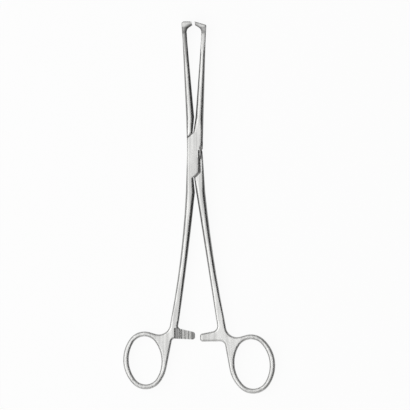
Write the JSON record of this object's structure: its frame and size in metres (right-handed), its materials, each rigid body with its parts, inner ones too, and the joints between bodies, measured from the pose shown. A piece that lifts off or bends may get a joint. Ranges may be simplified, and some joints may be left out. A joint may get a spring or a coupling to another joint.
{
  "type": "allis tissue forceps",
  "caption": "Long box-lock tissue forceps with hooked, fan-shaped serrated jaws, curved finger rings and facing ratchet bars.",
  "frame": {"origin": "on the pivot axis, at the flat underside of the box lock", "axes": "+X to the right seen from above, +Y from the pivot towards the jaws, +Z along the pivot axis out of the instrument's flat side"},
  "size_m": [0.0817, 0.2005, 0.008],
  "materials": {
    "box_half_steel": "satin",
    "tongue_half_steel": "satin",
    "pin_steel": "satin"
  },
  "bodies": {
    "box_side": {"box_half": "box_half_steel", "lock_pin": "pin_steel"},
    "tongue_side": {"tongue_half": "tongue_half_steel"}
  },
  "joints": [
    {"name": "box_lock_pivot", "type": "hinge", "parent": "box_side", "child": "tongue_side", "pos_m": [0, 0, 0.0028], "axis": [0, 0, 1], "range_deg": [-1.15, 34]}
  ]
}
